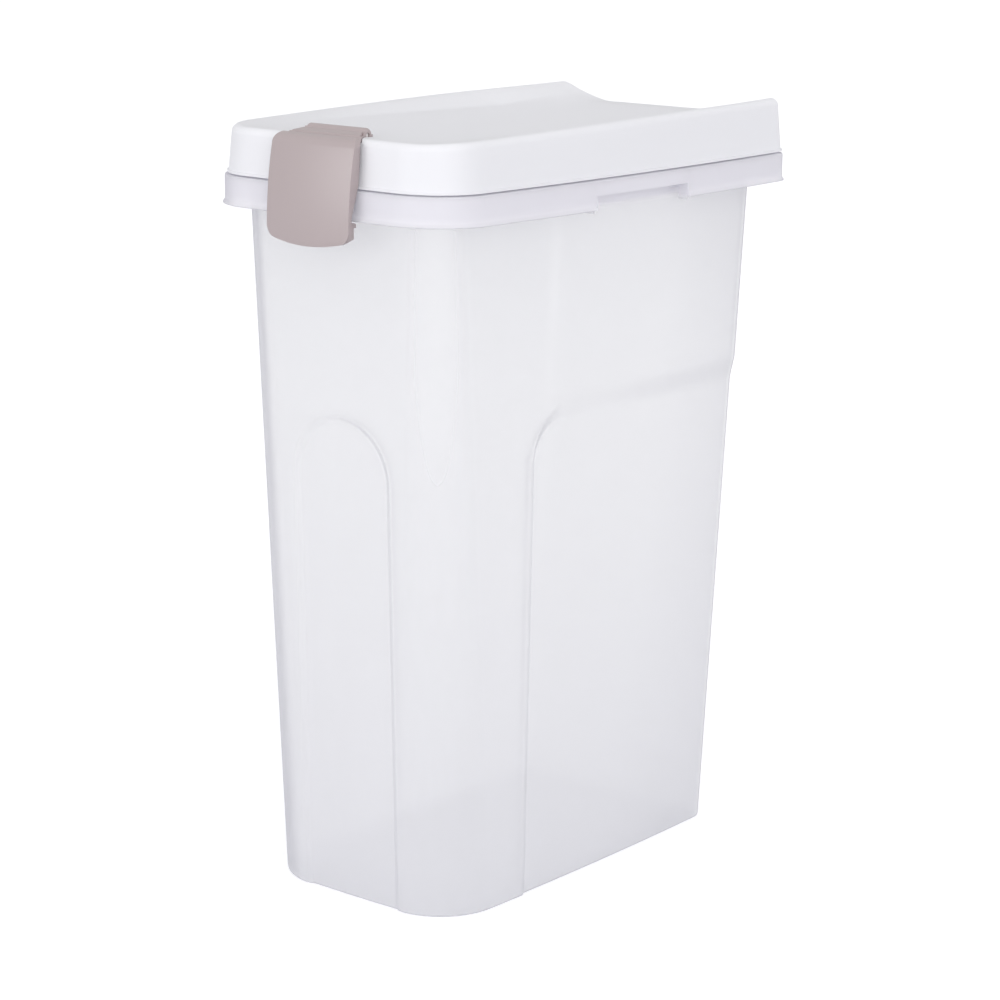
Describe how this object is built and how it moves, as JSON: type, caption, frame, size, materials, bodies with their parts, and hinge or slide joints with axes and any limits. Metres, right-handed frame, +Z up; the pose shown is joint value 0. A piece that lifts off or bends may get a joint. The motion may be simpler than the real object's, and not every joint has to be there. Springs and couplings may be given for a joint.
{
  "type": "pet food storage bin",
  "caption": "Tall narrow tapered tub with a hinged sealing lid and a front swing clip, for storing dry pet food.",
  "frame": {"origin": "on the floor under the tub, on the tub's left-right centre line, below the middle of the rim's length to within a few millimetres", "axes": "+Z up, the front with the clip faces -Y, the lid's hinge is at +Y, +X is the narrow width"},
  "size_m": [0.215, 0.3955, 0.5106],
  "materials": {
    "tub": "milky translucent natural polypropylene, smooth satin moulded skin",
    "lid": "opaque white polypropylene, fine satin moulded texture",
    "seal": "soft pale thermoplastic elastomer, matt",
    "clip": "taupe coloured polypropylene, satin",
    "pins": "white acetal, smooth"
  },
  "bodies": {
    "bin": {"bin_body": "tub", "hinge_pin_left": "pins", "hinge_pin_right": "pins"},
    "lid": {"lid": "lid", "lid_seal": "seal", "clip_pin": "pins"},
    "clip": {"front_clip": "clip"}
  },
  "joints": [
    {"name": "lid_hinge", "type": "hinge", "parent": "bin", "child": "lid", "pos_m": [0, 0.1936, 0.474], "axis": [-1, 0, 0], "range_deg": [0, 105]},
    {"name": "clip_swing", "type": "hinge", "parent": "lid", "child": "clip", "pos_m": [0, -0.1655, 0.5051], "axis": [-1, 0, 0], "range_deg": [0, 95]}
  ]
}
